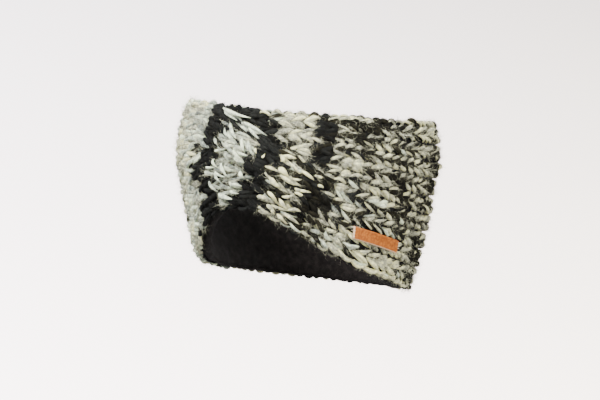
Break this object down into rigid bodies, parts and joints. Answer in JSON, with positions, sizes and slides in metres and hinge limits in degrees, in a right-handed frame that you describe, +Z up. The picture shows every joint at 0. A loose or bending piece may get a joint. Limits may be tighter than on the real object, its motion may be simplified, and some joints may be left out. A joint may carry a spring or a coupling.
{
  "type": "knitted ear warmer headband",
  "caption": "Wide chunky-knit headband whose two halves cross at the forehead, with a fleece lining and a small leather tab, worn round the head over the ears.",
  "frame": {"origin": "middle of the head opening, at half of the band's height", "axes": "+Z up, -Y towards the wearer's forehead, +X towards the side that carries the leather tab"},
  "size_m": [0.171, 0.2109, 0.1319],
  "materials": {
    "knit": "chunky two-ply marled yarn in ecru grey and black, fuzzy stockinette stitches",
    "fleece": "matte dark brown-black fleece",
    "label_leather": "smooth tan leather with paler cut edges"
  },
  "bodies": {
    "root": {"knit_band": "knit", "lining": "fleece", "label": "label_leather"}
  },
  "joints": []
}
